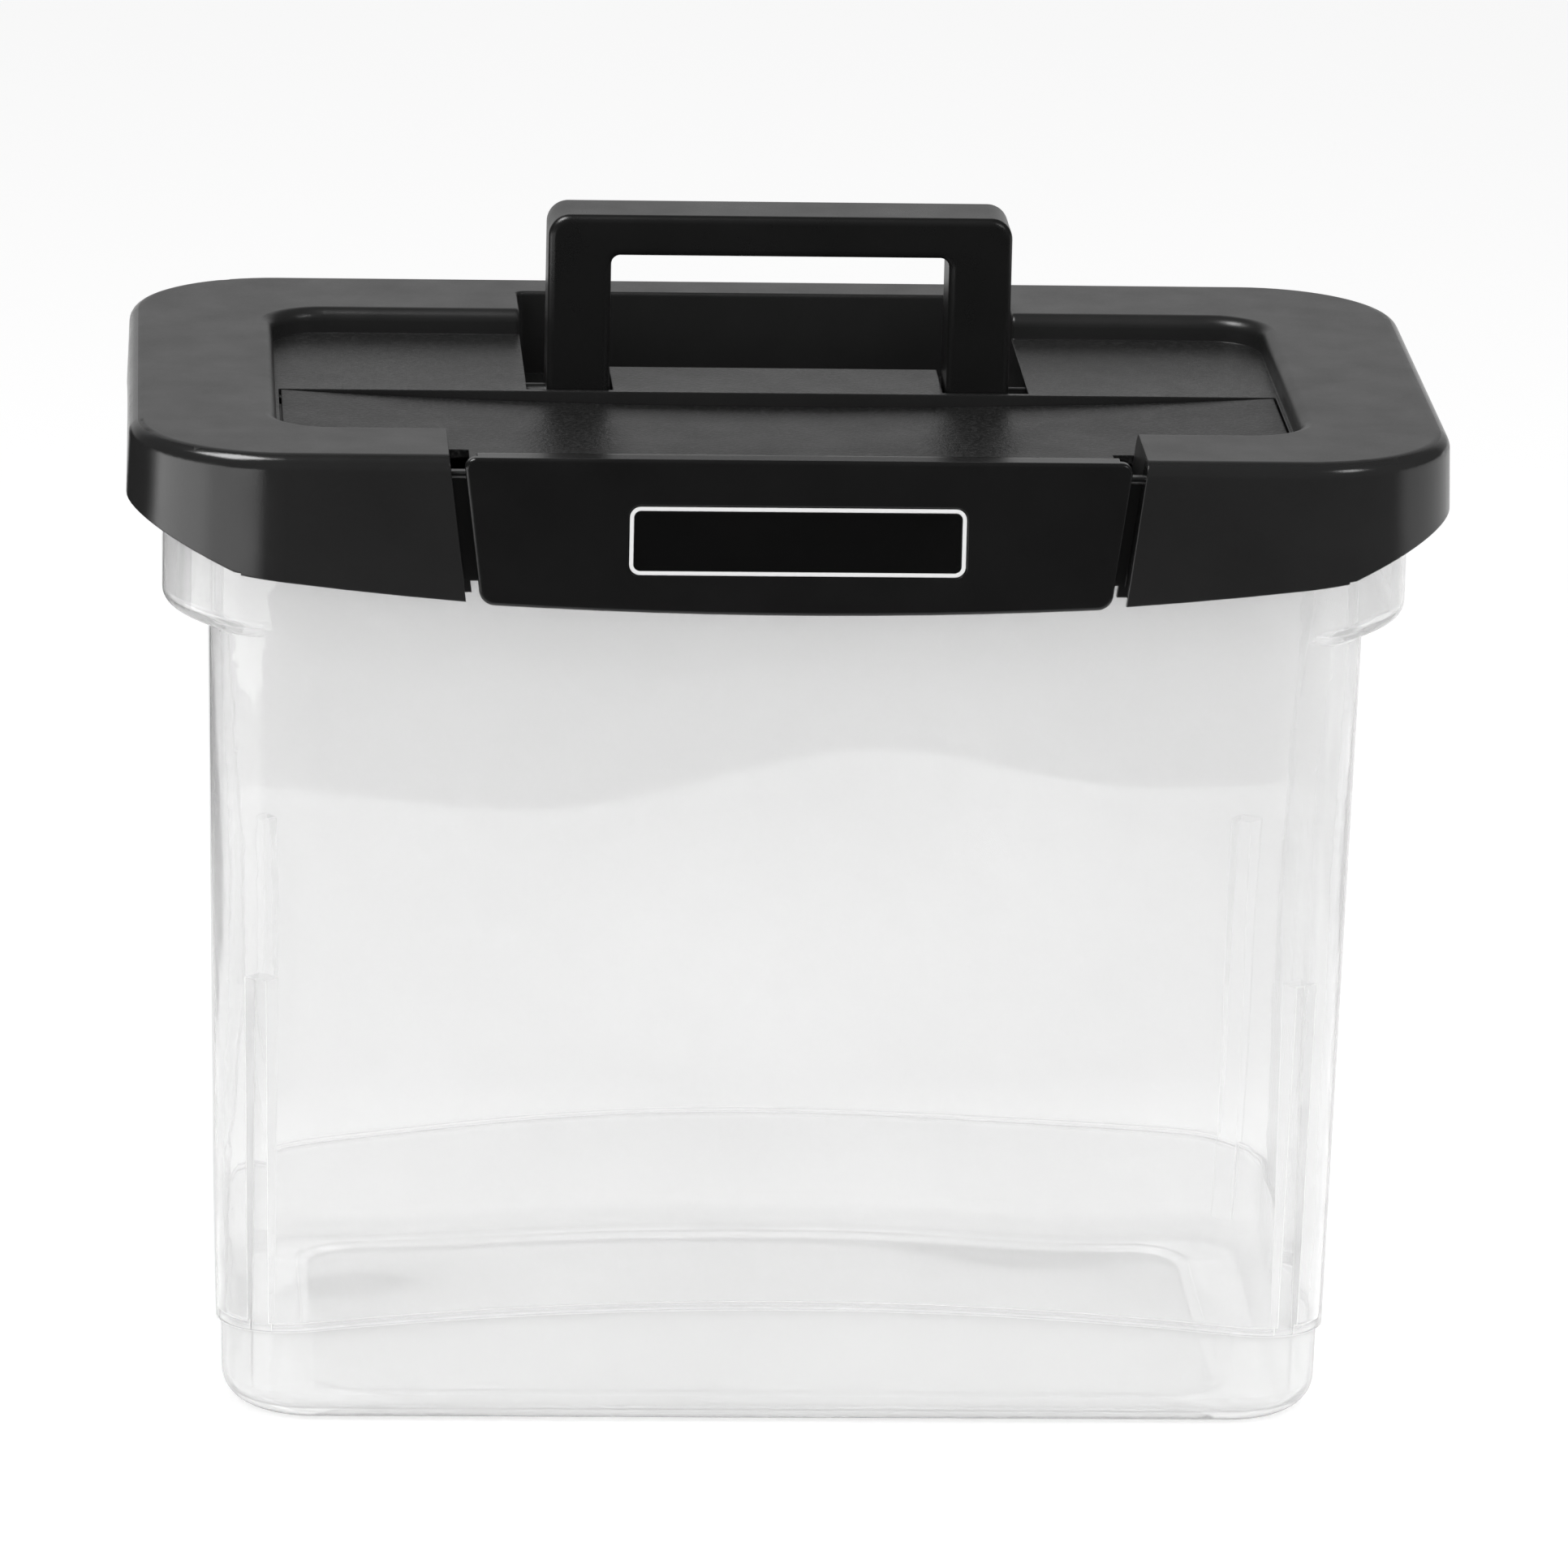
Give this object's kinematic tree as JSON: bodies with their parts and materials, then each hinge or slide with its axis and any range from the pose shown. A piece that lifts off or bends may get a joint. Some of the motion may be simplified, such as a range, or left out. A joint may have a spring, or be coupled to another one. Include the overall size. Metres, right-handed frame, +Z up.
{
  "type": "hanging file box",
  "caption": "Portable clear hanging-file box with a hinged black lid, a fold-down carry handle, a front latch and a flap-covered organizer pocket in the lid.",
  "frame": {"origin": "middle of the tub's base, on the surface it stands on", "axes": "+Z up, -Y towards the latch, +X to the right of someone facing the latch"},
  "size_m": [0.362, 0.2187, 0.3234],
  "materials": {
    "clear_plastic": "clear moulded polypropylene",
    "lid_plastic": "black satin polypropylene with a grained tray",
    "handle_plastic": "black satin polypropylene",
    "grained_plastic": "black polypropylene with a fine leather grain",
    "latch_plastic": "black polished polypropylene",
    "plate_plastic": "black plate with a pale border",
    "pin_steel": "drawn steel wire"
  },
  "bodies": {
    "tub": {"tub": "clear_plastic", "lid_hinge_pins": "pin_steel"},
    "lid": {"lid": "lid_plastic", "handle_pivot_pins": "pin_steel", "flap_hinge_pins": "pin_steel", "latch_hinge_rod": "pin_steel"},
    "handle": {"carry_handle": "handle_plastic"},
    "flap": {"organizer_flap": "grained_plastic"},
    "latch": {"front_latch": "latch_plastic", "label_plate": "plate_plastic"}
  },
  "joints": [
    {"name": "lid_hinge", "type": "hinge", "parent": "tub", "child": "lid", "pos_m": [0, 0.103, 0.2446], "axis": [-1, 0, 0], "range_deg": [0, 100]},
    {"name": "handle_fold", "type": "hinge", "parent": "lid", "child": "handle", "pos_m": [0, 0.0117, 0.27], "axis": [-1, 0, 0], "range_deg": [0, 90]},
    {"name": "flap_hinge", "type": "hinge", "parent": "lid", "child": "flap", "pos_m": [0, -0.0052, 0.272], "axis": [-1, 0, 0], "range_deg": [0, 90]},
    {"name": "latch_swing", "type": "hinge", "parent": "lid", "child": "latch", "pos_m": [0, -0.103, 0.275], "axis": [-1, 0, 0], "range_deg": [0, 80]}
  ]
}
